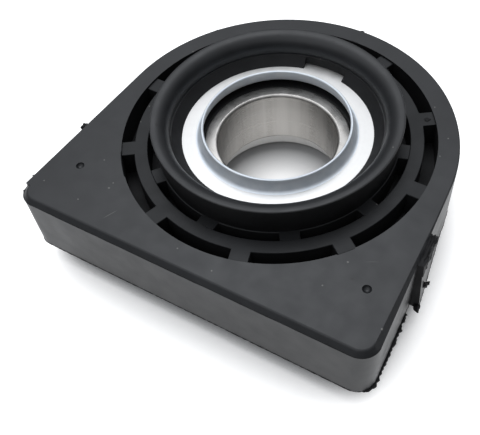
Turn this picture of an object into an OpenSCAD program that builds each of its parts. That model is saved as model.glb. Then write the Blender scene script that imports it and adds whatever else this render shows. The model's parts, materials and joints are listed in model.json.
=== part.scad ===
// Driveshaft centre bearing: a sealed ball bearing between two pressed dust covers,
// held by a steel sleeve in a moulded rubber cushion with staggered voids.
// The shaft bore runs along Z, the flat base faces -Y and the arch faces +Y.

/* [Bearing] */
// Diameter of the shaft bore
bore_d = 40; // [36:0.5:42]
// Outside diameter of the outer race
bearing_od = 68; // [67:0.5:72]
// Width of both races
race_w = 21; // [17:0.5:24]
// Diameter of one ball
ball_d = 7.94; // [7.2:0.02:8.4]
// Depth of each raceway below its shoulder
groove_depth = 1.55; // [1.2:0.05:1.8]
// Clearance between a ball and its raceways
ball_gap = 0.1; // [0.06:0.01:0.2]
// Rounding at both ends of the shaft bore
bore_round = 1; // [0.4:0.1:1.6]
// Rounding on the outer corners of the races
race_round = 0.6; // [0.2:0.1:1]

/* [Cage] */
// Thickness of the cage sheet
cage_t = 0.8; // [0.5:0.1:1]
// Radial width of the cage ribbon
cage_w = 3.4; // [2.4:0.1:3.8]
// Clearance between a ball and its pocket
pocket_gap = 0.15; // [0.1:0.01:0.25]
// Diameter of the rivet shanks
rivet_d = 1.4; // [1:0.1:1.8]
// Diameter of the rivet heads
rivet_head_d = 2.4; // [2:0.1:2.8]
// Height of the rivet heads
rivet_head_h = 0.6; // [0.3:0.1:1]

/* [Seals] */
// Thickness of a seal disc
seal_t = 1.2; // [0.8:0.1:1.6]
// Depth of the seal face below the race face
seal_inset = 0.4; // [0.2:0.1:0.8]
// Radial depth of the seal seat in the outer race
seal_seat = 1.2; // [0.8:0.1:1.8]
// Radial reach of the bead that snaps into the outer race
bead_reach = 0.5; // [0.3:0.1:0.8]
// Height of that bead
bead_h = 0.6; // [0.3:0.1:0.7]
// Running clearance between the seal lip and the inner race
lip_gap = 0.1; // [0.06:0.01:0.2]
// Radial width of the seal lip
seal_lip_w = 0.9; // [0.5:0.1:1.4]
// Drop of the seal lip below the disc
seal_lip_drop = 0.7; // [0.3:0.1:1]

/* [Dust covers and sleeve] */
// Sheet thickness of a dust cover
cover_t = 1; // [0.7:0.1:1.4]
// Height of the cover flange above the outer race
cover_rise = 2.9; // [2.6:0.1:4]
// Diameter of the collar at its lip, at the middle of the sheet
collar_d = 49; // [47:0.5:51]
// Height of the collar lip above the flange
collar_h = 4.5; // [3.5:0.1:6]
// Inward lean of the collar, in degrees
collar_lean = 14; // [4:1:20]
// Fillet between flange and collar
collar_fillet = 1.3; // [0.8:0.1:2]
// Wall of the bonded sleeve round the bearing
sleeve_t = 1.5; // [1:0.1:2.5]

/* [Cushion block] */
// Radius of the arch
arch_r = 58.9; // [57:0.1:64]
// Distance from the shaft axis to the base face
base_h = 61.4; // [59:0.2:68]
// Width across the base, before the corners are rounded
base_w = 126; // [122:1:140]
// Thickness of the block along the shaft
block_t = 23.3; // [20:0.1:26]
// Height of the front of the block above the middle of the bearing
block_front = 13.1; // [11:0.1:13.4]
// Radius of the two base corners
corner_r = 6; // [4:0.5:10]
// Bevel on the front edge along the base and its corners
bevel = 1.6; // [0.8:0.1:2.4]
// Angle that the bevel runs on round each corner
bevel_span = 88; // [60:1:90]
// Distance of each moulding dimple from the middle
dimple_x = 51; // [46:0.5:54]
// Distance of the dimples below the shaft axis
dimple_y = 41.6; // [38:0.2:46]
// Width of the dimples at the face
dimple_d = 2.8; // [2:0.1:4]
// Depth of the dimples
dimple_h = 1; // [0.5:0.1:2]

/* [Cushion lugs] */
// Reach of each side lug beyond the wall at the rear
lug_out = 2.4; // [1.8:0.1:4]
// Distance from the end of the arch to where a lug begins
lug_start = 1; // [1:0.2:12]
// Length of a lug along the wall
lug_len = 30; // [24:0.2:36]
// Step from the front face down to the top of a lug
lug_drop = 4; // [2:0.1:6]
// Lean of a lug towards the front, in degrees
lug_draft = 3.6; // [0:0.1:4]

/* [Cushion hub] */
// Outside radius of the hub at its rims
hub_r = 41; // [40.4:0.1:41.6]
// Narrowing of the hub from its rim down to its foot
hub_draw = 1.1; // [0.4:0.1:1.6]
// Width of the step round the foot of the hub
foot_w = 0.4; // [0.2:0.1:0.6]
// Stand-out of the front rim beyond the block
front_rim_h = 9.8; // [9:0.1:12]
// Stand-out of the rear rim beyond the block
rear_rim_h = 9.8; // [9:0.1:12]
// Rounding on the outer edge of both rims
rim_round = 0.8; // [0.4:0.1:1.4]
// Radius of the bowl's curve inside the front rim
front_bowl_r = 5; // [4:0.1:5.4]
// Radius of the bowl's curve inside the rear rim
rear_bowl_r = 3; // [2:0.1:4]
// Height of the ledge in the front bowl above the dust cover flange
front_ledge_h = 3.3; // [2.6:0.1:4]
// Height of the ledge in the rear bowl above the dust cover flange
rear_ledge_h = 2.2; // [1.4:0.1:3]
// Width of both ledges
ledge_w = 0.5; // [0.2:0.1:0.8]
// Radius at which the rubber lip ends on the dust cover
lip_r = 31.7; // [30.6:0.1:32.4]
// Outer radius of the notch in the lip near the crown
notch_r = 34.5; // [33.6:0.1:34.6]
// Angle that the notch spans
notch_angle = 27; // [16:1:32]
// Direction of the middle of the notch from the right-hand side, in degrees
notch_turn = 87.5; // [80:0.5:100]

/* [Cushion voids] */
// Width of the inner row of voids, from the foot of the hub
inner_void_w = 3.1; // [2.4:0.1:3.6]
// Width of the ring between the two rows of voids
ring_w = 4.5; // [3.6:0.1:5]
// Width of the outer row of voids
outer_void_w = 4.2; // [3.4:0.1:4.8]
// Turn of both rows about the shaft, in degrees
row_turn = -2.3; // [-6:0.1:6]
// Number of bridges across each row
bridge_n = 10; // [8:1:12]
// Width of an outer bridge
outer_bridge_w = 6; // [4:0.1:8]
// Width of an inner bridge
inner_bridge_w = 6.2; // [4:0.1:8]
// Step from the face of the block down to the ring
ring_drop = 0.7; // [0.2:0.1:1.2]
// Further step from the ring down to the inner bridges and the foot of the hub
inner_drop = 0.4; // [0.2:0.1:3]
// Thickness of the web left between front and rear voids
web_t = 4; // [2:0.5:6]

/* [Hidden] */
$fn = 96;
ball_n = 12;
ball_nodes = [for (k = [1:ball_n]) str("ball_", k)];

// Overshoot of a cutting shape past the face that it opens
over = 1;
// Depth to which a wall runs into the arcs at its ends, so that they join cleanly
tuck = 0.002;
// Steps along each bend of a pressed sheet
bend_steps = 8;

bore_r = bore_d / 2;
outer_r = bearing_od / 2;
pitch_r = (bore_r + outer_r) / 2;
ball_r = ball_d / 2;
groove_r = ball_r + ball_gap;
inner_shoulder_r = pitch_r - ball_r + groove_depth;
outer_shoulder_r = pitch_r + ball_r - groove_depth;
race_top = race_w / 2;
ball_step = 360 / ball_n;

pocket_r = ball_r + pocket_gap;
cage_in_r = pitch_r - cage_w / 2;
cage_out_r = pitch_r + cage_w / 2;

seal_face = race_top - seal_inset;
seal_back = seal_face - seal_t;
seat_r = outer_shoulder_r + seal_seat;
seal_bead_r = seat_r + bead_reach;
seal_lip_r = inner_shoulder_r + lip_gap;

cover_top = race_top + cover_rise;
cover_low = cover_top - cover_t;
collar_lip_z = cover_top + collar_h;
collar_bend_z = cover_top + collar_fillet;
collar_mid = collar_fillet + cover_t / 2;
collar_rise = collar_lip_z - cover_t / 2 - collar_bend_z + collar_mid * sin(collar_lean);
collar_len = collar_rise / cos(collar_lean);
collar_bend_r = collar_d / 2 + collar_len * sin(collar_lean) + collar_mid * cos(collar_lean);
sleeve_r = outer_r + sleeve_t;

block_rear = block_front - block_t;
base_half = base_w / 2;
base_reach = norm([base_half, base_h]);
// Direction that the right-hand wall faces, so that it leaves the arch tangentially
wall_turn = acos(arch_r / base_reach) - atan2(base_h, base_half);
corner_y = corner_r - base_h;
corner_x = (arch_r - corner_r - corner_y * sin(wall_turn)) / cos(wall_turn);
wall_top = polar(arch_r - tuck, wall_turn);
wall_foot = [corner_x, corner_y] + polar(corner_r - tuck, wall_turn);
lug_foot = corner_r;
lug_end = lug_start + lug_len;
lug_turn = atan(lug_out / lug_len);
dimple_r = (pow(dimple_d / 2, 2) + pow(dimple_h, 2)) / (2 * dimple_h);

front_rim_z = block_front + front_rim_h;
rear_rim_z = block_rear - rear_rim_h;
crest_r = hub_r - rim_round;
ledge_r = crest_r - front_bowl_r;
waist_r = hub_r - hub_draw;
foot_r = waist_r + foot_w;
foot_drop = ring_drop + inner_drop;

ring_in_r = foot_r + inner_void_w;
ring_out_r = ring_in_r + ring_w;
void_out_r = ring_out_r + outer_void_w;
void_depth = (block_t - web_t) / 2;
bridge_step = 360 / bridge_n;
base_turn = -90;

// A point at a radius and an angle in the plane
function polar(r, a) = [r * cos(a), r * sin(a)];

// Points along an arc about a centre, from one angle to another
function arc(c, r, from, to) =
    [for (k = [0:bend_steps]) c + polar(r, from + (to - from) * k / bend_steps)];

// Half profile of a race ring, with its own rounding on the inner and outer corners
module race_profile(r_in, r_out, round_in, round_out) {
    translate([r_in + round_in, -race_top])
        square([r_out - r_in - round_in - round_out, race_w]);
    translate([r_in, round_in - race_top])
        square([round_in, race_w - 2 * round_in]);
    translate([r_out - round_out, round_out - race_top])
        square([round_out, race_w - 2 * round_out]);
    for (end = [-1, 1]) {
        translate([r_in + round_in, end * (race_top - round_in)])
            circle(r = round_in);
        translate([r_out - round_out, end * (race_top - round_out)])
            circle(r = round_out);
    }
}

// Torus that the balls run in
module raceway() {
    rotate_extrude()
        translate([pitch_r, 0])
            circle(r = groove_r);
}

module inner_race() {
    color("gainsboro")
        difference() {
            rotate_extrude()
                race_profile(bore_r, inner_shoulder_r, bore_round, race_round);
            raceway();
        }
}

// Stepped seat and snap groove for one seal
module seal_seat_cut() {
    rotate_extrude()
        polygon([
            [pitch_r, seal_back],
            [seal_bead_r, seal_back],
            [seal_bead_r, seal_back + bead_h],
            [seat_r, seal_back + bead_h],
            [seat_r, race_top + over],
            [pitch_r, race_top + over]
        ]);
}

module outer_race() {
    color("gainsboro")
        difference() {
            rotate_extrude()
                race_profile(outer_shoulder_r, outer_r, race_round, race_round);
            raceway();
            seal_seat_cut();
            mirror([0, 0, 1])
                seal_seat_cut();
        }
}

// Seal disc with its snap bead outside and its running lip inside
module seal() {
    color("dimgray")
        rotate_extrude()
            polygon([
                [seal_lip_r, seal_back - seal_lip_drop],
                [seal_lip_r + seal_lip_w, seal_back],
                [seal_bead_r, seal_back],
                [seal_bead_r, seal_back + bead_h],
                [seat_r, seal_back + bead_h],
                [seat_r, seal_face],
                [seal_lip_r + seal_lip_w, seal_face],
                [seal_lip_r, seal_face - seal_t / 2]
            ]);
}

module front_seal() {
    seal();
}

module rear_seal() {
    mirror([0, 0, 1])
        seal();
}

// Places its children at every ball, or halfway between the balls
module around_cage(offset_steps) {
    for (k = [0:ball_n - 1])
        rotate([0, 0, (k + offset_steps) * ball_step])
            translate([pitch_r, 0, 0])
                children();
}

// Pressed ribbon with a half pocket over each ball, lying on the middle plane
module cage_half() {
    color("darkgray")
        difference() {
            intersection() {
                rotate_extrude()
                    translate([cage_in_r, 0])
                        square([cage_w, pocket_r + cage_t]);
                union() {
                    cylinder(h = cage_t, r = cage_out_r + over);
                    around_cage(0)
                        sphere(r = pocket_r + cage_t);
                }
            }
            around_cage(0)
                sphere(r = pocket_r);
            around_cage(1 / 2)
                cylinder(h = 2 * (cage_t + over), d = rivet_d, center = true);
        }
}

module cage_front_half() {
    cage_half();
}

module cage_rear_half() {
    mirror([0, 0, 1])
        cage_half();
}

module cage_rivets() {
    color("silver")
        around_cage(1 / 2) {
            cylinder(h = 2 * cage_t, d = rivet_d, center = true);
            for (side = [0, 1])
                mirror([0, 0, side])
                    translate([0, 0, cage_t])
                        cylinder(h = rivet_head_h, d1 = rivet_head_d, d2 = rivet_d);
        }
}

module ball(k) {
    color("whitesmoke")
        rotate([0, 0, (k - 1) * ball_step])
            translate([pitch_r, 0, 0])
                sphere(r = ball_r);
}

// Pressed cover: a flat flange that lies on the sleeve, and a leaning collar
module cover_profile() {
    collar_c = [collar_bend_r, collar_bend_z];
    lip_c = [collar_d / 2, collar_lip_z - cover_t / 2];
    polygon(concat(
        [[sleeve_r, cover_low], [sleeve_r, cover_top]],
        arc(collar_c, collar_fillet, 270, 180 + collar_lean),
        arc(lip_c, cover_t / 2, collar_lean, 180 + collar_lean),
        arc(collar_c, collar_fillet + cover_t, 180 + collar_lean, 270)
    ));
}

module dust_cover() {
    color("silver")
        rotate_extrude()
            cover_profile();
}

module front_dust_cover() {
    dust_cover();
}

module rear_dust_cover() {
    mirror([0, 0, 1])
        dust_cover();
}

module bearing_sleeve() {
    color("slategray")
        difference() {
            cylinder(h = 2 * cover_low, r = sleeve_r, center = true);
            cylinder(h = 2 * (cover_low + over), r = outer_r, center = true);
        }
}

// Flat part of the outline, between the arch and the two rounded corners
module outline_flats() {
    polygon([
        wall_top,
        wall_foot,
        [corner_x, -base_h],
        [-corner_x, -base_h],
        [-wall_foot[0], wall_foot[1]],
        [-wall_top[0], wall_top[1]]
    ]);
}

// Places its children at both base corners
module at_corners() {
    for (side = [-1, 1])
        translate([side * corner_x, corner_y])
            children();
}

module cushion_outline() {
    circle(r = arch_r);
    outline_flats();
    at_corners()
        circle(r = corner_r);
}

// Triangle beyond a 45 degree bevel, with the sharp edge at the origin
module edge_profile(inset) {
    polygon([[-inset - over, over], [over, -inset - over], [over, over]]);
}

// Cut for the bevel along the base and round its corners, with the front face at zero
module bevel_cut() {
    for (side = [0, 1])
        mirror([side, 0, 0]) {
            rotate([0, 0, base_turn])
                translate([base_h, corner_x, 0])
                    rotate([90, 0, 0])
                        linear_extrude(height = corner_x + over)
                            edge_profile(bevel);
            translate([corner_x, corner_y, 0])
                rotate([0, 0, base_turn])
                    rotate_extrude(angle = bevel_span)
                        translate([corner_r, 0])
                            edge_profile(bevel);
        }
}

// Wedge on the side wall that stops the block from sliding out of its bracket
module side_lug() {
    rotate([0, 0, wall_turn])
        intersection() {
            translate([arch_r - lug_foot, -lug_end, block_rear])
                cube([lug_foot + lug_out, lug_len + over, block_t - lug_drop]);
            translate([arch_r + lug_out, -lug_end, block_rear])
                rotate([0, -lug_draft, lug_turn])
                    translate([-base_half, -base_half, -base_half])
                        cube([base_half, base_w, base_w]);
        }
}

module block() {
    difference() {
        translate([0, 0, block_rear])
            linear_extrude(height = block_t)
                cushion_outline();
        translate([0, 0, block_front])
            bevel_cut();
    }
    for (side = [0, 1])
        mirror([side, 0, 0])
            side_lug();
}

// One end of the hub: rim, curved bowl with its ledge, and the lip on the cover
module hub_end_profile(rim_z, foot_z, bowl_r, ledge_z) {
    bowl_z = rim_z - bowl_r;
    translate([crest_r, rim_z - rim_round])
        circle(r = rim_round);
    intersection() {
        translate([crest_r, bowl_z])
            circle(r = bowl_r);
        translate([crest_r - bowl_r, bowl_z])
            square(bowl_r);
    }
    polygon([
        [foot_r, 0],
        [foot_r, foot_z],
        [waist_r, foot_z],
        [hub_r, rim_z - rim_round],
        [crest_r, rim_z - rim_round],
        [crest_r, bowl_z],
        [crest_r - bowl_r, bowl_z],
        [ledge_r, ledge_z],
        [ledge_r - ledge_w, ledge_z],
        [lip_r, cover_top],
        [sleeve_r, cover_top],
        [sleeve_r, 0]
    ]);
}

module hub() {
    rotate_extrude()
        hub_end_profile(front_rim_z, block_front - foot_drop, front_bowl_r, cover_top + front_ledge_h);
    mirror([0, 0, 1])
        rotate_extrude()
            hub_end_profile(-rear_rim_z, -block_rear - foot_drop, rear_bowl_r, cover_top + rear_ledge_h);
}

// Arc-shaped voids between two radii, left apart by bridges
module void_row(r_in, r_out, bridge_w, turn) {
    difference() {
        circle(r = r_out);
        circle(r = r_in);
        for (k = [0:bridge_n - 1])
            rotate(turn + k * bridge_step)
                translate([0, -bridge_w / 2])
                    square([r_out + over, bridge_w]);
    }
}

// Round step sunk into a face, out to a radius
module face_step(r_out, depth) {
    translate([0, 0, -depth])
        cylinder(h = depth + over, r = r_out);
}

// All that is cut into one face of the block, with that face at zero
module face_voids() {
    face_step(void_out_r, ring_drop);
    face_step(ring_in_r, foot_drop);
    translate([0, 0, -void_depth])
        linear_extrude(height = void_depth + over) {
            void_row(ring_out_r, void_out_r, outer_bridge_w, row_turn);
            void_row(foot_r, ring_in_r, inner_bridge_w, base_turn + row_turn);
        }
}

// Notch in the lip near the crown, down to the dust cover
module lip_notch() {
    rotate([0, 0, notch_turn - notch_angle / 2])
        rotate_extrude(angle = notch_angle)
            translate([lip_r - over, cover_top - over])
                square([notch_r - lip_r + over, front_ledge_h + 2 * over]);
}

// Dished mark that a locating pin of the mould leaves
module dimple() {
    translate([0, 0, dimple_r - dimple_h])
        rotate([90, 0, 0])
            sphere(r = dimple_r);
}

// Block with the voids cut into both faces, open for the hub
module slotted_block() {
    difference() {
        block();
        translate([0, 0, block_front])
            face_voids();
        translate([0, 0, block_rear])
            mirror([0, 0, 1])
                face_voids();
        cylinder(h = 4 * block_t, r = (sleeve_r + waist_r) / 2, center = true);
        for (side = [-1, 1])
            translate([side * dimple_x, -dimple_y, block_front])
                dimple();
    }
}

module rubber_cushion() {
    color("#303234")
        difference() {
            union() {
                slotted_block();
                hub();
            }
            lip_notch();
        }
}

rubber_cushion();
bearing_sleeve();
front_dust_cover();
rear_dust_cover();
outer_race();
inner_race();
front_seal();
rear_seal();
cage_front_half();
cage_rear_half();
cage_rivets();
for (k = [1:ball_n])
    ball(k);
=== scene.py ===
"""Looks of a driveshaft centre bearing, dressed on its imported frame.

A moulded rubber cushion holds a sealed ball bearing between two zinc-plated dust covers.
Sizes are in millimetres, and MM turns them to metres where they reach Blender.
"""

import json
import logging
import math
from dataclasses import dataclass
from enum import Enum
from typing import Callable

import bpy
from bpy.types import Material, MeshEdge, MeshPolygon, Node, Object
from bpy.types import NodeSocket as Socket, NodeTree as Tree
from mathutils import Matrix, Vector, noise

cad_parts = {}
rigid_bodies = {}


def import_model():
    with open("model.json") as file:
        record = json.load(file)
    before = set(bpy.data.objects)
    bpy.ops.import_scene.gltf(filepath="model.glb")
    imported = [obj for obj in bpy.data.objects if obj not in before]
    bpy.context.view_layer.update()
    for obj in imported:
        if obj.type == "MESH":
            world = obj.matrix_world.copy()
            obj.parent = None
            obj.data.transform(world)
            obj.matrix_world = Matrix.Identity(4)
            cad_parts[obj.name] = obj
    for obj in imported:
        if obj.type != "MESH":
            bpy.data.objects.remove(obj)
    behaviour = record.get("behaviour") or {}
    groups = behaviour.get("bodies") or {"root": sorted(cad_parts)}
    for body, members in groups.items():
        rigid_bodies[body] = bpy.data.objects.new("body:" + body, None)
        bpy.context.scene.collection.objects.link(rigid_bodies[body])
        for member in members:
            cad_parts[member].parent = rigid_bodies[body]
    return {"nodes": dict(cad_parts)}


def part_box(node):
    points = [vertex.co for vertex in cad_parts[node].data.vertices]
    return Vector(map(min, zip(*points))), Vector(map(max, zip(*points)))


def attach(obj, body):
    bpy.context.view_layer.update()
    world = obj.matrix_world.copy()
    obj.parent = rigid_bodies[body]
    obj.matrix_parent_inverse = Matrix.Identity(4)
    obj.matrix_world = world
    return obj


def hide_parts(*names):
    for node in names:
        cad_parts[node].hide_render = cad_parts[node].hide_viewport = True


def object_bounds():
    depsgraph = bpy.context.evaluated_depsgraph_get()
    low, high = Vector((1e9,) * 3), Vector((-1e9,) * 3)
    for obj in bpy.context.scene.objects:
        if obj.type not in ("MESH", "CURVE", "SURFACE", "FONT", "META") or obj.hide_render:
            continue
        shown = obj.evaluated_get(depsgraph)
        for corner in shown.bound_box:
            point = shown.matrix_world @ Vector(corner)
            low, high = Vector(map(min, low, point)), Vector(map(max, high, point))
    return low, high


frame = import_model()
CAD_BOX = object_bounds()

MM = 0.001
WELD_MM = 0.001
FLAT_DEG = 0.3
SMOOTH_DEG = 40.0
RANGE_INPUTS = ("Value", "From Min", "From Max", "To Min", "To Max")
UP = Vector((0, 0, 1))
LOG = logging.getLogger("centre_bearing")

PlaceTest = Callable[[Vector], bool]
Pair = tuple[float, float]
Triple = tuple[float, float, float]


class Body(Enum):
    """Bodies of the frame that new pieces ride on."""

    HOUSING = "housing"
    INNER_RACE = "inner_race"


class Slot(Enum):
    """Names of the record's material slots; no piece is given one of them here."""

    CUSHION = "cushion_rubber"
    ZINC = "zinc_plate"
    RACE = "bearing_steel"
    SEAL = "seal_rubber"


class Part(Enum):
    """Kinds of mesh part that edit mode selects."""

    CORNER = "VERT"
    EDGE = "EDGE"
    FACE = "FACE"


def linear(hex_colour: str) -> tuple[float, float, float, float]:
    """Turn an sRGB hex colour into linear light.

    Args:
        hex_colour: a colour such as "#1c1d1e".

    Returns:
        Red, green, blue and an alpha of one.
    """
    levels = [int(hex_colour[k:k + 2], 16) / 255 for k in (1, 3, 5)]
    red, green, blue = (
        v / 12.92 if v <= 0.04045 else ((v + 0.055) / 1.055) ** 2.4 for v in levels
    )
    return red, green, blue, 1.0


def per_mm(size: float) -> float:
    """Texture scale at which one cell of a pattern measures a size in millimetres."""
    return 1 / (size * MM)


def fill(tree: Tree, node: Node, inputs: dict) -> None:
    """Give a node's inputs, by name or number, their values or their sockets.

    Args:
        tree: the node tree that holds the node.
        node: the node.
        inputs: a value or an output socket for each input.
    """
    for name, value in inputs.items():
        if isinstance(value, Socket):
            tree.links.new(value, node.inputs[name])
        else:
            node.inputs[name].default_value = value


def add_node(tree: Tree, kind: str, inputs: dict | None = None, **settings: object) -> Node:
    """Add one node with its settings and inputs.

    Args:
        tree: the node tree to add to.
        kind: the node's type, without its ShaderNode prefix.
        inputs: a value or an output socket for each input, by name or number.
        settings: the node's own properties.

    Returns:
        The new node.
    """
    node = tree.nodes.new("ShaderNode" + kind)
    for name, value in settings.items():
        setattr(node, name, value)
    fill(tree, node, inputs or {})
    return node


def reckon(tree: Tree, operation: str, *values: Socket | float) -> Socket:
    """Join numbers and sockets by one Math operation."""
    return add_node(tree, "Math", dict(enumerate(values)), operation=operation).outputs[0]


def length_of(tree: Tree, vector: Socket) -> Socket:
    """Length of a vector."""
    return add_node(tree, "VectorMath", {0: vector}, operation="LENGTH").outputs["Value"]


def mix_colour(tree: Tree, share: Socket, one: object, other: object) -> Socket:
    """Mix two colours, each a value or a socket, by a share of the second."""
    return add_node(tree, "Mix", {0: share, 6: one, 7: other}, data_type="RGBA").outputs[2]


def spread(
    tree: Tree, value: Socket, span: Pair, result: Pair = (0.0, 1.0), **settings: object,
) -> Socket:
    """Map a span of values to a span of results, held at its ends."""
    inputs = dict(zip(RANGE_INPUTS, (value, *span, *result)))
    return add_node(tree, "MapRange", inputs, **settings).outputs["Result"]


def mottle(
    tree: Tree, place: Socket, size: float, detail: float, roughness: float = 0.5,
) -> Socket:
    """Cloudy noise, with patches of a size in millimetres and finer layers of a weight."""
    inputs = {"Vector": place, "Scale": per_mm(size), "Detail": detail, "Roughness": roughness}
    return add_node(tree, "TexNoise", inputs).outputs["Fac"]


def emboss(tree: Tree, height: Socket, strength: float, depth: float, **under: Socket) -> Socket:
    """Bump a surface to a depth in millimetres, over the Normal of any bump under it."""
    inputs = {"Height": height, "Strength": strength, "Distance": depth * MM, **under}
    return add_node(tree, "Bump", inputs).outputs["Normal"]


def off_axis(tree: Tree, place: Socket) -> Socket:
    """Distance of a place from the shaft axis."""
    flat = add_node(tree, "VectorMath", {0: place, 1: (1, 1, 0)}, operation="MULTIPLY").outputs[0]
    return length_of(tree, flat)


def new_material(name: str) -> tuple[Material, Tree, Node]:
    """Start a material that holds one Principled shader.

    Args:
        name: the material's name.

    Returns:
        The material, its node tree and its shader.
    """
    material = bpy.data.materials.new(name)
    material.use_nodes = True
    tree = material.node_tree
    tree.nodes.clear()
    shader = add_node(tree, "BsdfPrincipled")
    add_node(tree, "OutputMaterial", {"Surface": shader.outputs["BSDF"]})
    return material, tree, shader


@dataclass(frozen=True)
class Mark:
    """Small blemish on the rubber, soft at its edge, turned about Z. A cover of one hides it."""

    place: Triple
    half: Triple
    turn_deg: float = 0.0
    cover: float = 0.6


@dataclass(frozen=True)
class MouldedRubber:
    """Black natural rubber, pressed in a steel mould.

    It is almost black by itself. A satin skin picks up the pale surround, and the eye sees faint
    cloudy patches, a fine grain from the mould, a few pale dust specks and short scuffs.
    """

    name: str = "moulded_black_rubber"
    deep: str = "#1d1e20"
    worn: str = "#262729"
    dust: str = "#8c8b86"
    soot: str = "#040404"
    cloud_mm: float = 16.0
    cloud_span: Pair = (0.34, 0.68)
    grain_mm: float = 0.8
    grain_depth: float = 0.02
    wave_mm: float = 6.0
    wave_depth: float = 0.08
    wave_span: Pair = (0.3, 0.7)
    smooth: float = 0.34
    rough: float = 0.42
    gloss: float = 0.42
    mark_edge: Pair = (0.4, 1.0)
    speck_mm: float = 14.0
    speck_edge: Pair = (0.022, 0.012)
    speck_cover: float = 0.5
    speck_lot: float = 0.6
    speck_facing: float = 0.9
    pale_marks: tuple[Mark, ...] = (
        Mark((-36.6, -45.0, 13.1), (0.45, 0.35, 1.0)),
        Mark((-36.6, -42.7, 13.1), (0.3, 0.3, 1.0)),
        Mark((-42.8, -53.2, 13.1), (0.35, 0.3, 1.0)),
        Mark((42.5, -35.9, 13.1), (0.4, 0.35, 1.0)),
        Mark((59.6, -51.1, 13.1), (0.4, 0.4, 1.0)),
        Mark((-29.9, -53.4, 13.1), (2.9, 0.16, 1.0), 64.8, 0.35),
        Mark((48.6, -32.7, 13.1), (2.3, 0.12, 1.0), 27.7, 0.2),
        Mark((39.3, 1.9, 22.4), (0.35, 0.35, 1.0)),
    )
    dark_marks: tuple[Mark, ...] = (
        Mark((46.0, -40.5, 13.1), (0.8, 0.5, 1.0), 20.0),
        Mark((-17.5, 33.7, 22.6), (1.0, 0.5, 2.0), 30.0),
        Mark((1.9, 38.5, 22.6), (0.9, 0.4, 2.0), -10.0),
        Mark((6.8, 40.2, 22.6), (0.9, 0.4, 2.0), -10.0),
        Mark((-31.9, -22.0, 22.6), (1.2, 0.7, 2.0), -50.0),
    )

    def build(self) -> Material:
        """Make the material.

        Returns:
            The material.
        """
        material, tree, shader = new_material(self.name)
        place = add_node(tree, "TexCoord").outputs["Object"]
        cloud = mottle(tree, place, self.cloud_mm, detail=5.0, roughness=0.6)
        tone = spread(tree, cloud, self.cloud_span)
        colour = mix_colour(tree, tone, linear(self.deep), linear(self.worn))
        for mask, cover in (
            (self.marks(tree, place, self.dark_marks), self.soot),
            (self.marks(tree, place, self.pale_marks), self.dust),
            (self.specks(tree, place), self.dust),
        ):
            colour = mix_colour(tree, mask, colour, linear(cover))
        grain = mottle(tree, place, self.grain_mm, detail=3.0, roughness=0.55)
        wave = mottle(tree, place, self.wave_mm, detail=2.0)
        skin = spread(tree, wave, self.wave_span, (self.smooth, self.rough))
        uneven = emboss(tree, wave, strength=0.2, depth=self.wave_depth)
        surface = emboss(tree, grain, strength=0.25, depth=self.grain_depth, Normal=uneven)
        fill(tree, shader, {"Base Color": colour, "Roughness": skin, "Normal": surface})
        fill(tree, shader, {"Specular IOR Level": self.gloss})
        return material

    def marks(self, tree: Tree, place: Socket, marks: tuple[Mark, ...]) -> Socket:
        """Mask of the blemishes that lie at known places.

        Args:
            tree: the material's node tree.
            place: the Object coordinates.
            marks: the blemishes.

        Returns:
            A factor from zero to one.
        """
        mask = None
        for mark in marks:
            local = add_node(
                tree, "Mapping",
                {
                    "Vector": place,
                    "Location": [c * MM for c in mark.place],
                    "Rotation": (0.0, 0.0, math.radians(mark.turn_deg)),
                    "Scale": [s * MM for s in mark.half],
                },
                vector_type="TEXTURE",
            ).outputs["Vector"]
            spot = spread(tree, length_of(tree, local), self.mark_edge, (mark.cover, 0.0))
            mask = spot if mask is None else reckon(tree, "MAXIMUM", mask, spot)
        return mask

    def specks(self, tree: Tree, place: Socket) -> Socket:
        """Mask of the fine dust that lies scattered on the faces that look up.

        Args:
            tree: the material's node tree.
            place: the Object coordinates.

        Returns:
            A factor from zero to one.
        """
        spots = add_node(
            tree, "TexVoronoi", {"Vector": place, "Scale": per_mm(self.speck_mm)},
            voronoi_dimensions="2D",
        ).outputs
        near = spread(tree, spots["Distance"], self.speck_edge, (0.0, self.speck_cover))
        lot = add_node(tree, "SeparateColor", {"Color": spots["Color"]}).outputs["Red"]
        kept = reckon(tree, "GREATER_THAN", lot, self.speck_lot)
        normal = add_node(tree, "NewGeometry").outputs["Normal"]
        facing = add_node(tree, "SeparateXYZ", {"Vector": normal}).outputs["Z"]
        upward = reckon(tree, "GREATER_THAN", facing, self.speck_facing)
        return reckon(tree, "MULTIPLY", near, reckon(tree, "MULTIPLY", kept, upward))


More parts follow.
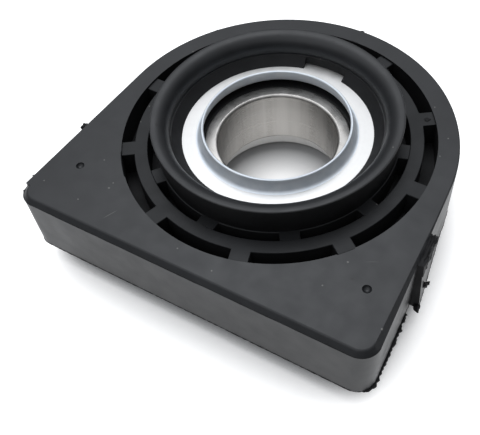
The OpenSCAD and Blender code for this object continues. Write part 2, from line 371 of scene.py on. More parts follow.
@dataclass(frozen=True)
class TurnedMetal:
    """Metal with fine rings about the shaft axis, from turning, pressing or grinding.

    The rings are drawn coarser than the real ones so that they show at the render's size. A draw
    below one stretches the cloudy tone along the axis. A ground above zero smears reflections
    across the rings.
    """

    name: str
    bright: str
    dull: str
    smooth: float
    rough: float
    ring_mm: float
    ring_depth: float
    cloud_mm: float = 4.0
    draw: float = 1.0
    ground: float = 0.0
    ground_turn: float = 0.25
    tone_span: Pair = (0.35, 0.65)
    skin_span: Pair = (0.7, 1.3)

    def build(self) -> Material:
        """Make the material.

        Returns:
            The material.
        """
        material, tree, shader = new_material(self.name)
        place = add_node(tree, "TexCoord").outputs["Object"]
        height = add_node(tree, "SeparateXYZ", {"Vector": place}).outputs["Z"]
        sides = {"X": off_axis(tree, place), "Y": height}
        across = add_node(tree, "CombineXYZ", sides).outputs["Vector"]
        rings = mottle(tree, across, self.ring_mm, detail=3.0, roughness=0.7)
        drawn = add_node(
            tree, "Mapping", {"Vector": place, "Scale": (1.0, 1.0, self.draw)},
        ).outputs["Vector"]
        cloud = mottle(tree, drawn, self.cloud_mm, detail=4.0)
        tone = spread(tree, cloud, self.tone_span)
        colour = mix_colour(tree, tone, linear(self.dull), linear(self.bright))
        mixed = reckon(tree, "ADD", rings, cloud)
        skin = spread(tree, mixed, self.skin_span, (self.smooth, self.rough))
        surface = emboss(tree, rings, strength=0.5, depth=self.ring_depth)
        smear = {"Anisotropic": self.ground, "Anisotropic Rotation": self.ground_turn}
        fill(tree, shader, {"Base Color": colour, "Roughness": skin, "Normal": surface})
        fill(tree, shader, {"Metallic": 1.0, **smear})
        return material


@dataclass(frozen=True)
class SealRubber:
    """Black nitrile rubber of the lip seals, moulded with fine rings and left matt."""

    name: str = "nitrile_seal_rubber"
    deep: str = "#101011"
    worn: str = "#1d1d1e"
    ring_mm: float = 0.6
    ring_depth: float = 0.03
    roughness: float = 0.58

    def build(self) -> Material:
        """Make the material.

        Returns:
            The material.
        """
        material, tree, shader = new_material(self.name)
        place = add_node(tree, "TexCoord").outputs["Object"]
        across = add_node(tree, "CombineXYZ", {"X": off_axis(tree, place)}).outputs["Vector"]
        rings = mottle(tree, across, self.ring_mm, detail=2.0)
        colour = mix_colour(tree, rings, linear(self.deep), linear(self.worn))
        surface = emboss(tree, rings, strength=0.4, depth=self.ring_depth)
        fill(tree, shader, {"Base Color": colour, "Roughness": self.roughness, "Normal": surface})
        return material


# The cushion's rubber with the skin of a polished mould
MOULDED_RUBBER = MouldedRubber()
# The same rubber, matt with no skin, where it was torn or moulded against rough cores. Its darker
# colour is painted shade on the lips and in the voids, and the rubber's own colour on the torn
# bits.
MATT_AND_SHADED_RUBBER = MouldedRubber(
    "matt_rubber_and_painted_shade", "#151516", "#1e1e1f", smooth=0.55, rough=0.7, gloss=0.25,
)
# The same rubber on the sunken ring and bridges between the voids: a duller skin, and a darker
# colour that is painted shade
SHADED_CORED_RUBBER = MouldedRubber(
    "cored_rubber_painted_shade", "#191a1b", "#212224", smooth=0.42, rough=0.5, gloss=0.27,
)
# Bright electroplated zinc on a deep-drawn cover: white, slightly hazy on the flat flange
ZINC = TurnedMetal(
    "zinc_plated_sheet", "#dcdbd9", "#d4d3d1",
    smooth=0.42, rough=0.50, ring_mm=0.9, ring_depth=0.004,
)
# The same zinc on the collar, paler and bluish as painted light, and soft in its reflections
LIT_COLLAR_ZINC = TurnedMetal(
    "zinc_collar_painted_light", "#f0f4f8", "#e6ecf2",
    smooth=0.62, rough=0.70, ring_mm=0.9, ring_depth=0.004,
)
# Bearing steel, turned and ground: warm grey, hazed across its fine grinding marks
RACE_STEEL = TurnedMetal(
    "ground_bearing_steel", "#bdbab6", "#a5a29e",
    smooth=0.24, rough=0.34, ring_mm=0.7, ring_depth=0.004, cloud_mm=5.0, draw=0.05, ground=0.8,
)
# Mild steel sleeve, turned and phosphated before it is bonded: dull dark grey
SLEEVE_STEEL = TurnedMetal(
    "phosphated_sleeve_steel", "#77797c", "#5d5f63",
    smooth=0.42, rough=0.60, ring_mm=1.1, ring_depth=0.012,
)
# Cold-rolled strip of the cage, pressed: soft grey sheen
CAGE_STEEL = TurnedMetal(
    "pressed_cage_steel", "#b3b1ad", "#94928f",
    smooth=0.28, rough=0.42, ring_mm=1.0, ring_depth=0.008, cloud_mm=2.5,
)
# Chrome steel balls, lapped to a mirror
BALL_STEEL = TurnedMetal(
    "lapped_ball_steel", "#d9d8d6", "#cfcdca",
    smooth=0.03, rough=0.07, ring_mm=1.5, ring_depth=0.0005, cloud_mm=3.0,
)


def select_only(obj: Object) -> None:
    """Deselect everything, then select one object and make it active.

    Args:
        obj: the object to select.
    """
    bpy.ops.object.select_all(action="DESELECT")
    obj.select_set(True)
    bpy.context.view_layer.objects.active = obj


def edit_all(obj: Object, part: Part = Part.CORNER) -> None:
    """Open one object in edit mode with all of its mesh selected.

    Args:
        obj: the object to open.
        part: the kind of part to select.
    """
    select_only(obj)
    bpy.ops.object.mode_set(mode="EDIT")
    bpy.ops.mesh.select_mode(type=part.value)
    bpy.ops.mesh.select_all(action="SELECT")


def leave_edit() -> None:
    """Go back to object mode."""
    bpy.ops.object.mode_set(mode="OBJECT")


def choose(obj: Object, part: Part, wanted: set[int]) -> None:
    """Open one object in edit mode with only some of its edges or faces selected.

    Args:
        obj: the object to open.
        part: the kind of part to select, an edge or a face.
        wanted: numbers of the edges or faces to select.
    """
    edit_all(obj, part)
    bpy.ops.mesh.select_all(action="DESELECT")
    leave_edit()
    parts = obj.data.edges if part is Part.EDGE else obj.data.polygons
    for index in wanted:
        parts[index].select = True
    bpy.ops.object.mode_set(mode="EDIT")


def inside(obj: Object, parts: bpy.types.bpy_prop_collection, test: PlaceTest) -> set[int]:
    """Numbers of the edges or faces whose corners all pass a test.

    Args:
        obj: the object that holds them.
        parts: its edges or its polygons.
        test: takes a place in millimetres.

    Returns:
        The numbers that pass.
    """
    passed = [test(v.co / MM) for v in obj.data.vertices]
    return {part.index for part in parts if all(passed[v] for v in part.vertices)}


def ridges(obj: Object, angle: float) -> set[int]:
    """Numbers of the edges that stand out with at least this angle between their faces.

    Args:
        obj: the object to look at.
        angle: the least angle between the two faces' normals, in degrees.

    Returns:
        The numbers of the convex edges.
    """
    mesh = obj.data
    faces: dict[tuple[int, int], list[MeshPolygon]] = {}
    for face in mesh.polygons:
        for key in face.edge_keys:
            faces.setdefault(key, []).append(face)
    found = set()
    for edge in mesh.edges:
        one, other = faces[edge.key]
        turned = one.normal.angle(other.normal, 0.0) >= math.radians(angle)
        if turned and (other.center - one.center).dot(one.normal) < 0:
            found.add(edge.index)
    return found


def merged_copy(node: str, name: str) -> Object:
    """Copy a node's mesh to a new object and merge its loose triangles.

    Args:
        node: the node to copy.
        name: the new piece's name.

    Returns:
        The new object, with its place in its mesh.
    """
    obj = bpy.data.objects.new(name, frame["nodes"][node].data.copy())
    bpy.context.scene.collection.objects.link(obj)
    select_only(obj)
    bpy.ops.mesh.customdata_custom_splitnormals_clear()
    edit_all(obj)
    bpy.ops.mesh.remove_doubles(threshold=WELD_MM * MM)
    bpy.ops.mesh.dissolve_limited(angle_limit=math.radians(FLAT_DEG))
    leave_edit()
    return obj


def smooth(obj: Object, angle: float) -> None:
    """Shade a piece smooth up to an angle and weigh its normals by face area.

    Args:
        obj: the piece.
        angle: the angle, in degrees.
    """
    select_only(obj)
    bpy.ops.object.shade_smooth_by_angle(angle=math.radians(angle))
    bpy.ops.object.modifier_add(type="WEIGHTED_NORMAL")
    modifier = obj.modifiers[-1]
    modifier.keep_sharp = True
    bpy.ops.object.modifier_apply(modifier=modifier.name)


def dress(obj: Object, material: Material, body: Body) -> None:
    """Give a new piece its material and the body that it rides on.

    Args:
        obj: the piece.
        material: its material.
        body: the body that it rides on.
    """
    obj.data.materials.clear()
    obj.data.materials.append(material)
    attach(obj, body.value)


def paint(obj: Object, material: Material, wanted: set[int]) -> None:
    """Give some faces of a dressed piece another material.

    Args:
        obj: the piece.
        material: the material to add.
        wanted: numbers of the faces.
    """
    obj.data.materials.append(material)
    for index in wanted:
        obj.data.polygons[index].material_index = len(obj.data.materials) - 1


def dress_node(node: str, material: Material) -> None:
    """Give a node that stays as it is a better material."""
    for slot in frame["nodes"][node].material_slots:
        slot.material = material


def radius_of(place: Vector) -> float:
    """Distance of a place from the shaft axis."""
    return math.hypot(place.x, place.y)


def add_block() -> Object:
    """Add a cube of half length one, to be given its shape corner by corner.

    Returns:
        The cube.
    """
    bpy.ops.object.select_all(action="DESELECT")
    bpy.ops.mesh.primitive_cube_add(size=2)
    return bpy.context.object


@dataclass(frozen=True)
class FlashLine:
    """Ragged fin of rubber that squeezed out where two halves of the mould met at a height Z.

    Its reach is its mean stand-out, in millimetres. The rag, by which the stand-out varies, and
    the flatness, worst and thinnest are shares of that. Worst holds on the worst wall.
    """

    name: str
    z: float
    reach: float
    rag: float
    flatness: float
    notch_mm: float
    worst: float = 1.0
    thinnest: float = 0.15

    def gain(self, place: Vector) -> float:
        """Stand-out of the fin at a place, as a multiple of its mean."""
        return max(self.thinnest, 1 + self.rag * noise.noise(place / self.notch_mm))


@dataclass(frozen=True)
class Crumb:
    """Torn bit of flash that still hangs on the cushion, turned about Z."""

    place: Triple
    half: Triple
    turn_deg: float


@dataclass(frozen=True)
class TornFlash:
    """The crumbs, joined to one piece. Each starts as a sphere, and noise makes it lumpy."""

    name: str = "torn_flash"
    crumbs: tuple[Crumb, ...] = (
        Crumb((-61.2, -26.3, 12.3), (1.0, 1.3, 0.9), 20.0),
        Crumb((-62.9, -51.2, 11.9), (0.9, 0.3, 0.3), 20.0),
        Crumb((-61.9, -57.4, 11.3), (0.9, 0.7, 0.5), 40.0),
        Crumb((62.7, -27.6, -9.6), (1.0, 1.3, 0.9), 10.0),
        Crumb((62.6, -21.8, -4.5), (0.9, 1.3, 1.1), -30.0),
        Crumb((41.6, 27.0, 12.3), (1.2, 0.9, 0.3), 30.0),
        Crumb((61.2, -16.6, 11.6), (0.8, 1.4, 0.9), -10.0),
        Crumb((-45.9, 37.4, 12.0), (1.0, 0.5, 0.5), 20.0),
        Crumb((-40.9, 41.7, 12.0), (0.8, 0.45, 0.5), 20.0),
        Crumb((3.6, 59.5, 12.0), (0.9, 0.4, 0.4), 20.0),
    )
    fineness: int = 4
    rough: float = 0.55
    lumps: Pair = (1.4, 3.5)
    fine_weight: float = 0.5
    noise_step: float = 7.3

    def build(self) -> Object:
        """Shape the crumbs and join them.

        Returns:
            One piece that holds every crumb.
        """
        made = [self.shape(crumb, number) for number, crumb in enumerate(self.crumbs)]
        bpy.ops.object.select_all(action="DESELECT")
        for bit in made:
            bit.select_set(True)
        bpy.context.view_layer.objects.active = made[0]
        bpy.ops.object.join()
        made[0].name = self.name
        bpy.ops.object.shade_smooth_by_angle(angle=math.radians(SMOOTH_DEG))
        return made[0]

    def shape(self, crumb: Crumb, number: int) -> Object:
        """Shape one crumb.

        Args:
            crumb: the crumb.
            number: its number, which picks its noise.

        Returns:
            The crumb, with its place in its mesh.
        """
        bpy.ops.object.select_all(action="DESELECT")
        bpy.ops.mesh.primitive_ico_sphere_add(subdivisions=self.fineness, radius=1)
        bit = bpy.context.object
        shift = Vector((number * self.noise_step, 0, 0))
        for corner in bit.data.vertices:
            coarse, fine = (noise.noise(corner.co * lumps + shift) for lumps in self.lumps)
            corner.co *= 1 + self.rough * (coarse + self.fine_weight * fine)
        turn = Matrix.Rotation(math.radians(crumb.turn_deg), 4, "Z")
        size = Matrix.Diagonal((*(s * MM for s in crumb.half), 1))
        bit.data.transform(Matrix.Translation(Vector(crumb.place) * MM) @ turn @ size)
        return bit


@dataclass(frozen=True)
class WornWall:
    """Right-hand wall of the cushion, which stands in behind its flash and has a worn edge.

    Shares are of the wall's length, from the arch to the corner. The bevel's two widths are those
    at its ends.
    """

    arch_r: float = 58.9
    base_half: float = 63.0
    base_h: float = 61.4
    corner_r: float = 6.0
    corner_from_x: float = 54.0
    corner_share: float = 0.99
    plane_slack: float = 0.1
    drawn_in: float = 1.1
    bevel: Pair = (0.0, 1.75)
    cutter_shares: Pair = (-0.25, 1.09)
    past_face: float = 2.0
    past_wall: float = 0.6
    cutter_thick: float = 3.0
    merge_band: float = 1.3
    merge_deg: float = 1.5

    def ends(self) -> tuple[Vector, Vector]:
        """Ends of the wall in plan, before it is drawn in.

        Returns:
            Its end at the arch and its end at the corner.
        """
        turn = math.acos(self.arch_r / math.hypot(self.base_half, self.base_h))
        turn -= math.atan2(self.base_h, self.base_half)
        way = Vector((math.cos(turn), math.sin(turn), 0))
        corner_y = self.corner_r - self.base_h
        corner_x = (self.arch_r - self.corner_r - corner_y * way.y) / way.x
        return way * self.arch_r, Vector((corner_x, corner_y, 0)) + way * self.corner_r

    def draw_in(self, body: Object) -> None:
        """Draw the wall in to where it stands behind its flash.

        Args:
            body: the cushion.
        """
        top, foot = self.ends()
        across = UP.cross(foot - top).normalized()
        for corner in body.data.vertices:
            place = corner.co / MM
            share = (top.y - place.y) / (top.y - foot.y)
            if share > self.corner_share:
                moves = place.x > self.corner_from_x
            else:
                moves = share > 0 and abs((place - top).dot(across)) < self.plane_slack
            if moves:
                corner.co.x -= self.drawn_in * min(share, 1) * MM

    def cut_bevel(self, body: Object, face_z: float) -> None:
        """Cut the worn bevel along the wall's front edge.

        Args:
            body: the cushion, with its wall drawn in.
            face_z: height of its front face.
        """
        top, foot = self.ends()
        foot.x -= self.drawn_in
        along = foot - top
        across = UP.cross(along).normalized()
        start, end = self.bevel
        cutter = add_block()
        for corner in cutter.data.vertices:
            share = self.cutter_shares[0 if corner.co.x < 0 else 1]
            width = start + (end - start) * share
            if corner.co.y < 0:
                out, rise = -width - self.past_face, self.past_face
            else:
                out, rise = self.past_wall, -width - self.past_wall
            if corner.co.z > 0:
                out, rise = out + self.cutter_thick, rise + self.cutter_thick
            place = top + along * share + across * out
            corner.co = Vector((place.x, place.y, face_z + rise)) * MM
        edit_all(cutter)
        bpy.ops.mesh.normals_make_consistent(inside=False)
        leave_edit()
        select_only(body)
        bpy.ops.object.modifier_add(type="BOOLEAN")
        modifier = body.modifiers[-1]
        modifier.operation = "DIFFERENCE"
        modifier.solver = "EXACT"
        modifier.object = cutter
        bpy.ops.object.modifier_apply(modifier=modifier.name)
        bpy.data.objects.remove(cutter)
        flat = inside(
            body, body.data.polygons,
            lambda p: p.y < top.y and abs((p - top).dot(across)) < self.merge_band,
        )
        choose(body, Part.FACE, flat)
        bpy.ops.mesh.dissolve_limited(angle_limit=math.radians(self.merge_deg))
        leave_edit()


@dataclass(frozen=True)
class TornLug:
    """Rough top that tearing left on the right-hand lug.

    It starts as a block, with shares from zero to one along the wall, out of it and up. Noise
    roughens its outer and its upper part, and frays its end towards the arch.
    """

    name: str = "torn_lug"
    span: Pair = (19.5, 31.1)
    heights: Pair = (7.0, 12.2)
    root: float = 2.5
    reach: float = 1.25
    lean: float = 0.063
    cuts: int = 30
    loose_from: float = 0.6
    rough: float = 0.4
    rough_up: float = 0.8
    fade: int = 6
    noise_depth: float = 5.0
    lump_mm: float = 2.2
    pits_per_mm: float = 1.6
    pit_weight: float = 0.7
    streak_mm: float = 6.0
    streaks_out: float = 9.0
    streaks_up: float = 4.0
    streak_weight: float = 1.6
    fray: float = 1.6
    notches_out: float = 4.0
    notches_up: float = 3.0
    fray_seed: float = 3.1

    def build(self, wall: WornWall) -> Object:
        """Shape the block and tear it.

        Args:
            wall: the wall that it stands on.

        Returns:
            The new piece.
        """
        top, foot = wall.ends()
        along = (foot - top).normalized()
        across = UP.cross(along)
        piece = add_block()
        piece.name = self.name
        edit_all(piece)
        bpy.ops.mesh.subdivide(number_cuts=self.cuts)
        leave_edit()
        for corner in piece.data.vertices:
            run, out, rise = self.torn(*((c + 1) / 2 for c in corner.co))
            place = top + along * run + across * out
            corner.co = Vector((place.x, place.y, rise)) * MM
        select_only(piece)
        bpy.ops.object.shade_smooth_by_angle(angle=math.radians(SMOOTH_DEG))
        return piece

    def torn(self, one: float, two: float, three: float) -> Triple:
        """Where a corner of the block lies once it is torn.

        Args:
            one: the corner's share along the wall.
            two: its share out of the wall.
            three: its share up.

        Returns:
            Its run along the wall, its stand-out and its height.
        """
        start, end = self.span
        low, high = self.heights
        run = start + (end - start) * one
        lie = Vector((run, two * self.noise_depth, three * self.noise_depth))
        pits = noise.noise(lie * self.pits_per_mm)
        way = (run / self.streak_mm, two * self.streaks_out, three * self.streaks_up)
        streaks = noise.noise(Vector(way))
        lumps = noise.noise(lie / self.lump_mm) + self.pit_weight * pits
        loose = self.rough * (lumps + self.streak_weight * streaks) * (1 - one ** self.fade)
        reach = self.reach + self.lean * (high - low) * (1 - three)
        out = -self.root + (reach + self.root) * two
        rise = low + (high - low) * three
        if two > self.loose_from:
            out += loose
        if three > self.loose_from:
            rise += self.rough_up * loose
        notch = Vector((two * self.notches_out, three * self.notches_up, self.fray_seed))
        run += self.fray * noise.noise(notch) * (1 - one) ** 2
        return run, out, rise


@dataclass
class Cushion:
    """Moulded rubber cushion: its body, its rounded edges, its flash and its torn bits."""

    node: str = "rubber_cushion"
    name: str = "moulded_cushion"
    face_z: float = 13.1
    rear_z: float = -10.2
    hub_r: float = 41.0
    foot_r: float = 40.3
    foot_drop: float = 1.1
    void_out_r: float = 52.1
    ledge_r: float = 34.7
    ledge_tops: Pair = (16.7, -15.6)
    dimple: Pair = (51.0, -41.6)
    dimple_reach: float = 2.5
    bevel_end: Pair = (61.8, -55.45)
    bevel_end_reach: float = 1.0
    outline_gap: float = 0.8
    rim_round: float = 0.8
    rim_band: float = 1.0
    rim_cuts: int = 4
    outline_round: float = 0.45
    rear_round: float = 0.3
    void_round: float = 0.3
    ledge_round: float = 0.15
    round_segments: int = 3
    sharp_deg: float = 40.0
    smooth_deg: float = 32.0
    tolerance: float = 0.02
    upright_nz: float = 0.3
    level_nz: float = 0.7
    lip_span: Pair = (31.0, 35.1)
    lip_z: float = 16.9
    cored_span: Pair = (39.7, 52.6)
    cored_slack: Pair = (0.5, 0.1)
    void_floor_z: float = 8.0
    lug_end_xy: Pair = (60.0, 36.0)
    lug_end_ny: float = -0.9
    worst_span: Pair = (-60.0, -30.8)
    flash_step: float = 0.45
    lines: tuple[FlashLine, ...] = (
        FlashLine("front_flash", 11.5, 0.13, 0.8, 0.8, 4.0),
        FlashLine("rear_flash", -10.2, 0.14, 0.8, 0.8, 1.1, 6.0),
    )
    wall: WornWall = WornWall()
    lug: TornLug = TornLug()
    bits: TornFlash = TornFlash()

    def build(self) -> list[Object]:
        """Model the cushion's pieces and dress them.

        Returns:
            The new pieces.
        """
        # matt rubber: real on the torn bits, painted shade where it darkens the lips and the
        # voids
        matt = MATT_AND_SHADED_RUBBER.build()
        low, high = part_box(self.node)
        body = merged_copy(self.node, self.name)
        self.wall.draw_in(body)
        flash = [self.flash(body, line) for line in self.lines]
        for rim_z in (high.z / MM, low.z / MM):
            self.round_rim(body, rim_z)
        self.round_edges(body)
        self.wall.cut_bevel(body, self.face_z)
        smooth(body, self.smooth_deg)
        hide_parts(self.node)
        dress(body, MOULDED_RUBBER.build(), Body.HOUSING)
        # darker rubber on the sunken ring and bridges is painted shade
        paint(body, SHADED_CORED_RUBBER.build(), self.cored_faces(body))
        # the lips and voids take the darker matt rubber as painted shade
        paint(body, matt, {face.index for face in body.data.polygons if self.is_matt_or_shaded(face)})
        torn = [*flash, self.lug.build(self.wall), self.bits.build()]
        for piece in torn:
            dress(piece, matt, Body.HOUSING)
        return [body, *torn]

    def is_matt_or_shaded(self, face: MeshPolygon) -> bool:
        """Whether a face belongs to the lips, the voids, the hub's foot or the right lug's end,
        which take the matt rubber; on the lips and in the voids its darker colour is painted
        shade.

        Args:
            face: a face of the cushion.

        Returns:
            True where the rubber has no skin, and where the lips and voids get painted shade.
        """
        place = face.center / MM
        radius = radius_of(place)
        upright = abs(face.normal.z) < self.upright_nz
        on_lip = self.lip_span[0] < radius < self.lip_span[1] and abs(place.z) < self.lip_z
        cored = self.cored_span[0] < radius < self.cored_span[1]
        in_void = cored and (upright or abs(place.z) < self.void_floor_z)
        at_end = place.x > self.lug_end_xy[0] and abs(place.y) < self.lug_end_xy[1]
        on_lug = at_end and upright and face.normal.y < self.lug_end_ny
        return on_lip or in_void or on_lug

    def cored_faces(self, body: Object) -> set[int]:
        """Find the level faces of the ring and the bridges between the voids, on both sides,
        which take a darker rubber as painted shade.

        Args:
            body: the cushion.

        Returns:
            Numbers of the faces.
        """
        inner, outer = self.cored_span
        under, over = self.cored_slack

        def between(place: Vector) -> bool:
            """Whether a place lies among the voids, near the level of one face."""
            low = self.face_z - self.foot_drop if place.z > 0 else self.rear_z
            return (
                low - under < place.z < low + self.foot_drop + over
                and inner < radius_of(place) < outer
            )

        faces = body.data.polygons
        return {k for k in inside(body, faces, between) if abs(faces[k].normal.z) > self.level_nz}

    def round_rim(self, body: Object, rim_z: float) -> None:
        """Lay a fresh round over the outer edge of one rim.

        Args:
            body: the cushion.
            rim_z: height of the rim's crest.
        """
        crest_r = self.hub_r - self.rim_round - self.tolerance
        foot = self.rim_band + self.tolerance

        def on_round(place: Vector) -> bool:
            """Whether a place lies on the edge that the round takes up."""
            return radius_of(place) > crest_r and abs(place.z - rim_z) < foot

        choose(body, Part.FACE, inside(body, body.data.polygons, on_round))
        bpy.ops.mesh.delete(type="FACE")
        leave_edit()
        choose(body, Part.EDGE, inside(body, body.data.edges, on_round))
        bpy.ops.mesh.bridge_edge_loops(
            number_cuts=self.rim_cuts, interpolation="SURFACE", smoothness=1.0,
        )
        leave_edit()

    def round_edges(self, body: Object) -> None:
        """Round every sharp edge that a moulding has rounded.

        Args:
            body: the cushion.
        """
        for top in self.ledge_tops:
            self.soften(body, lambda p, z=top: self.on_ledge(p, z), self.ledge_round)
        for face, width in ((self.face_z, self.outline_round), (self.rear_z, self.rear_round)):
            self.soften(body, lambda p, z=face: self.on_outline(p, z), width)
        for low in (self.face_z - self.foot_drop, self.rear_z):
            self.soften(body, lambda p, z=low: self.on_voids(p, z), self.void_round)

    def near(self, value: float, wanted: float) -> bool:
        """Whether a coordinate lies at a wanted one."""
        return abs(value - wanted) < self.tolerance

    def on_ledge(self, place: Vector, top: float) -> bool:
        """Whether a place lies on the inner edge of one lip."""
        return self.near(place.z, top) and self.near(radius_of(place), self.ledge_r)

    def past_voids(self, place: Vector) -> bool:
        """Whether a place lies outside the rows of voids."""
        return radius_of(place) > self.void_out_r + self.outline_gap

    def on_outline(self, place: Vector, face: float) -> bool:
        """Whether a place of one face lies outside the voids and away from the dimples."""
        away = math.hypot(abs(place.x) - self.dimple[0], place.y - self.dimple[1])
        return self.near(place.z, face) and self.past_voids(place) and away > self.dimple_reach

    def at_bevel_end(self, place: Vector) -> bool:
        """Whether a place lies on the short step in which the base bevel ends."""
        away = math.hypot(abs(place.x) - self.bevel_end[0], place.y - self.bevel_end[1])
        return away < self.bevel_end_reach

    def on_voids(self, place: Vector, low: float) -> bool:
        """Whether a place lies on the stepped ring of one face, above its lowest level."""
        slack = self.tolerance
        return (
            low - slack < place.z < low + self.foot_drop + slack
            and self.foot_r - slack < radius_of(place) < self.void_out_r + slack
        )

    def soften(self, body: Object, test: PlaceTest, width: float) -> None:
        """Round the sharp level edges that lie at certain places.

        Args:
            body: the cushion.
            test: takes a place in millimetres.
            width: width of the round.
        """
        corners = body.data.vertices

        def is_level(edge: MeshEdge) -> bool:
            """Whether both ends of an edge have one height."""
            one, other = (corners[v].co.z / MM for v in edge.vertices)
            return self.near(one, other)

        sharp = ridges(body, self.sharp_deg) & inside(body, body.data.edges, test)
        sharp -= inside(body, body.data.edges, self.at_bevel_end)
        choose(body, Part.EDGE, {k for k in sharp if is_level(body.data.edges[k])})
        bpy.ops.mesh.bevel(
            offset=width * MM, segments=self.round_segments, affect="EDGES", clamp_overlap=False,
        )
        leave_edit()

    def flash(self, body: Object, line: FlashLine) -> Object:
        """Draw the flash along one parting line from the outline's own edges.

        Args:
            body: the cushion, with its edges still sharp.
            line: the flash to draw.

        Returns:
            The new piece.
        """

        def on_line(place: Vector) -> bool:
            """Whether a place lies on the parting line."""
            return self.near(place.z, line.z) and self.past_voids(place)

        known = set(bpy.data.objects)
        choose(body, Part.EDGE, inside(body, body.data.edges, on_line))
        bpy.ops.mesh.duplicate()
        bpy.ops.mesh.separate(type="SELECTED")
        leave_edit()
        piece = next(obj for obj in bpy.data.objects if obj not in known)
        piece.name = line.name
        self.refine(piece)
        select_only(piece)
        bpy.ops.object.convert(target="CURVE")
        curve = piece.data
        curve.bevel_depth = line.reach * MM
        curve.bevel_resolution = 1
        curve.use_fill_caps = True
        for spline in curve.splines:
            for point in spline.points:
                place = point.co.to_3d() / MM
                worst = line.worst if self.on_worst_wall(place) else 1.0
                point.radius = worst * line.gain(place)
        bpy.ops.object.convert(target="MESH")
        edit_all(piece)
        bpy.ops.transform.resize(
            value=(1, 1, line.flatness), center_override=(0, 0, line.z * MM),
        )
        leave_edit()
        select_only(piece)
        bpy.ops.object.shade_smooth()
        return piece

    def on_worst_wall(self, place: Vector) -> bool:
        """Whether a place lies on the right-hand wall, where the mould had worn most."""
        return place.x > self.void_out_r and self.worst_span[0] < place.y < self.worst_span[1]

    def refine(self, piece: Object) -> None:
        """Halve the edges of a wire until none is longer than the flash's step.

        Args:
            piece: the wire.
        """
        while True:
            corners = piece.data.vertices
            long = {
                edge.index for edge in piece.data.edges
                if (corners[edge.vertices[0]].co - corners[edge.vertices[1]].co).length
                > self.flash_step * MM
            }
            if not long:
                return
            choose(piece, Part.EDGE, long)
            bpy.ops.mesh.subdivide(number_cuts=1)
            leave_edit()


@dataclass
class DustCovers:
    """Two pressed covers that keep dirt off the bearing's seals."""

    nodes: tuple[str, ...] = ("front_dust_cover", "rear_dust_cover")
    flange_r: float = 28.0

    def build(self) -> list[Object]:
        """Copy the pressings and plate them.

        Returns:
            The new pieces.
        """
        material = ZINC.build()
        # the collar's paler, bluish zinc is painted light
        drawn = LIT_COLLAR_ZINC.build()
        pieces = []
        for node in self.nodes:
            piece = merged_copy(node, "plated_" + node)
            smooth(piece, SMOOTH_DEG)
            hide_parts(node)
            dress(piece, material, Body.HOUSING)
            collar = inside(
                piece, piece.data.polygons,
                lambda p: p.z > 0 and radius_of(p) < self.flange_r,
            )
            if collar:
                # collar faces take the paler zinc: painted light
                paint(piece, drawn, collar)
            pieces.append(piece)
        return pieces


@dataclass
class Bearing:
    """Sealed ball bearing: the inner race and the seals that show, and what runs inside."""

    inner_race: str = "inner_race"
    outer_race: str = "outer_race"
    sleeve: str = "bearing_sleeve"
    seals: tuple[str, ...] = ("front_seal", "rear_seal")
    cage: tuple[str, ...] = ("cage_front_half", "cage_rear_half", "cage_rivets")
    ball_count: int = 12
    race_smooth_deg: float = 35.0

    def build(self) -> list[Object]:
        """Copy the pieces that show and dress the hidden ones.

        Returns:
            The new pieces.
        """
        steel = RACE_STEEL.build()
        ring = merged_copy(self.inner_race, "ground_inner_race")
        smooth(ring, self.race_smooth_deg)
        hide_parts(self.inner_race)
        dress(ring, steel, Body.INNER_RACE)
        pieces = [ring]
        rubber = SealRubber().build()
        for node in self.seals:
            piece = merged_copy(node, "moulded_" + node)
            smooth(piece, SMOOTH_DEG)
            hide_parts(node)
            dress(piece, rubber, Body.HOUSING)
            pieces.append(piece)
        self.dress_inside(steel)
        return pieces

    def dress_inside(self, race_steel: Material) -> None:
        """Give the hidden pieces their finishes.

        Args:
            race_steel: the finish of both races.
        """
        dress_node(self.outer_race, race_steel)
        dress_node(self.sleeve, SLEEVE_STEEL.build())
        cage_steel = CAGE_STEEL.build()
        for node in self.cage:
            dress_node(node, cage_steel)
        ball_steel = BALL_STEEL.build()
        for number in range(1, self.ball_count + 1):
            dress_node(f"ball_{number}", ball_steel)


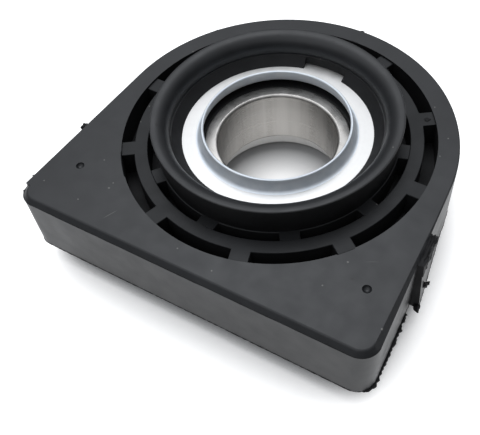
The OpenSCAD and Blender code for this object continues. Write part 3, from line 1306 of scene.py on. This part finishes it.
@dataclass
class Studio:
    """Pale floor, soft surround, one overhead lamp and the camera."""

    floor_half_m: float = 4.0
    floor_tone: float = 0.7
    floor_painted_light: float = 0.9
    painted_reflection_glow: Pair = (0.57, 0.09)
    floor_reach: float = 120.0
    painted_shadow_span: Pair = (0.36, 0.69)
    shade_samples: int = 16
    painted_bore_light: float = 0.74
    painted_bore_span: Pair = (23.0, 6.0)
    tint: Triple = (0.955, 0.985, 1.03)
    surround: float = 1.2
    horizon: float = 0.2
    horizon_span_deg: Pair = (22.0, 50.0)
    shaded_span: Pair = (-0.1, 0.6)
    shaded_share: float = 0.35
    lamp_turn_deg: float = 126.0
    lamp_rise_deg: float = 64.0
    lamp_far_m: float = 0.9
    lamp_size_m: float = 0.62
    lamp_watts: float = 1.75
    azimuth_deg: float = 36.277
    elevation_deg: float = 52.924
    roll_deg: float = -7.521
    distance: float = 236.586
    aim: Triple = (0.0, 0.0, 13.1)
    aim_right: float = -12.268
    aim_up: float = -28.348
    lens: float = 53.5065
    clip_m: Pair = (0.01, 100.0)

    def build(self) -> None:
        """Set up the floor, the light and the camera."""
        bpy.context.scene.view_settings.view_transform = "Standard"
        self.lay_floor()
        self.hang_surround()
        self.hang_lamp()
        self.place_camera()

    def lay_floor(self) -> None:
        """Lay the pale floor under the lowest point of the part."""
        bpy.ops.object.select_all(action="DESELECT")
        bpy.ops.mesh.primitive_plane_add(
            size=2 * self.floor_half_m, location=(0, 0, CAD_BOX[0].z),
        )
        floor = bpy.context.object
        floor.name = "studio_floor"
        # Matt white paper. Its own shading shows the part's soft shadow. A glow that follows
        # ambient occlusion paints that shadow deeper, a glow under the bore paints a pool of
        # light there, and reflections see a painted glow of their own
        material, tree, shader = new_material("pale_floor")
        tone = self.floor_tone
        fill(tree, shader, {"Base Color": (tone, tone, tone, 1), "Roughness": 1.0})
        fill(tree, shader, {"Specular IOR Level": 0.0, "Emission Color": (1, 1, 1, 1)})
        open_sky = add_node(
            tree, "AmbientOcclusion", {"Distance": self.floor_reach * MM},
            samples=self.shade_samples,
        ).outputs["AO"]
        # painted shadow: the floor glows less where ambient occlusion finds it hemmed in
        sheet = spread(tree, open_sky, self.painted_shadow_span, (0.0, self.floor_painted_light))
        away = length_of(tree, add_node(tree, "TexCoord").outputs["Object"])
        rim, core = (r * MM for r in self.painted_bore_span)
        # painted pool of light on the floor under the bore
        bore = spread(tree, away, (rim, core), (0.0, self.painted_bore_light))
        path = add_node(tree, "LightPath").outputs
        shiny = reckon(tree, "MAXIMUM", path["Is Glossy Ray"], path["Is Transmission Ray"])
        # painted reflection: a glow of the floor that only reflections see
        mirrored = reckon(tree, "MULTIPLY_ADD", sheet, *self.painted_reflection_glow)
        seen = [
            reckon(tree, "MULTIPLY", ray, reckon(tree, "MAXIMUM", level, bore))
            for ray, level in ((path["Is Camera Ray"], sheet), (shiny, mirrored))
        ]
        fill(tree, shader, {"Emission Strength": reckon(tree, "ADD", *seen)})
        floor.data.materials.append(material)

    def hang_surround(self) -> None:
        """Hang a white surround: bright overhead, darker on one side and near the horizon."""
        world = bpy.data.worlds.new("studio_surround")
        bpy.context.scene.world = world
        world.use_nodes = True
        tree = world.node_tree
        tree.nodes.clear()
        way = add_node(tree, "TexCoord").outputs["Generated"]
        heading = add_node(tree, "SeparateXYZ", {"Vector": way}).outputs
        low, high = (math.sin(math.radians(a)) for a in self.horizon_span_deg)
        tent = spread(
            tree, heading["Z"], (low, high), (self.horizon, self.surround),
            interpolation_type="SMOOTHSTEP",
        )
        side = spread(tree, heading["X"], self.shaded_span, (1.0, self.shaded_share))
        room = reckon(tree, "MULTIPLY", tent, side)
        seen = add_node(tree, "LightPath").outputs["Is Camera Ray"]
        strength = add_node(
            tree, "Mix", {0: seen, 2: room, 3: 1.0}, data_type="FLOAT",
        ).outputs[0]
        colour = mix_colour(tree, seen, (*self.tint, 1), (1, 1, 1, 1))
        sky = add_node(tree, "Background", {"Color": colour, "Strength": strength}).outputs[0]
        add_node(tree, "OutputWorld", {"Surface": sky})

    def hang_lamp(self) -> None:
        """Hang one large soft lamp over the part."""
        turn, rise = math.radians(self.lamp_turn_deg), math.radians(self.lamp_rise_deg)
        level = Vector((math.cos(turn), math.sin(turn), 0))
        way = level * math.cos(rise) + UP * math.sin(rise)
        bpy.ops.object.select_all(action="DESELECT")
        bpy.ops.object.light_add(type="AREA", location=way * self.lamp_far_m)
        lamp = bpy.context.object
        lamp.name = "overhead_softbox"
        lamp.data.shape = "DISK"
        lamp.data.size = self.lamp_size_m
        lamp.data.energy = self.lamp_watts
        lamp.data.color = self.tint
        lamp.rotation_euler = way.to_track_quat("Z", "Y").to_euler()

    def place_camera(self) -> None:
        """Put the camera where the photographer held theirs."""
        turn, rise, roll = (
            math.radians(a) for a in (self.azimuth_deg, self.elevation_deg, self.roll_deg)
        )
        level = Vector((math.cos(turn), math.sin(turn), 0))
        back = level.cross(UP) * math.cos(rise) + UP * math.sin(rise)
        upright = back.cross(level)
        right = level * math.cos(roll) + upright * math.sin(roll)
        up = upright * math.cos(roll) - level * math.sin(roll)
        eye = Vector(self.aim) + back * self.distance + right * self.aim_right + up * self.aim_up
        bpy.ops.object.select_all(action="DESELECT")
        bpy.ops.object.camera_add()
        camera = bpy.context.object
        camera.name = "studio_camera"
        pose = Matrix((right, up, back)).transposed().to_4x4()
        pose.translation = eye * MM
        camera.matrix_world = pose
        camera.data.lens = self.lens
        camera.data.clip_start, camera.data.clip_end = self.clip_m
        bpy.context.scene.camera = camera


def main() -> None:
    """Build every sub-assembly and the studio, and report each piece."""
    logging.basicConfig(level=logging.INFO, format="%(message)s")
    for assembly in (Cushion(), DustCovers(), Bearing()):
        kind = type(assembly).__name__
        for piece in assembly.build():
            LOG.info("%s: %s, %d faces", kind, piece.name, len(piece.data.polygons))
    Studio().build()


if __name__ == "__main__":
    main()
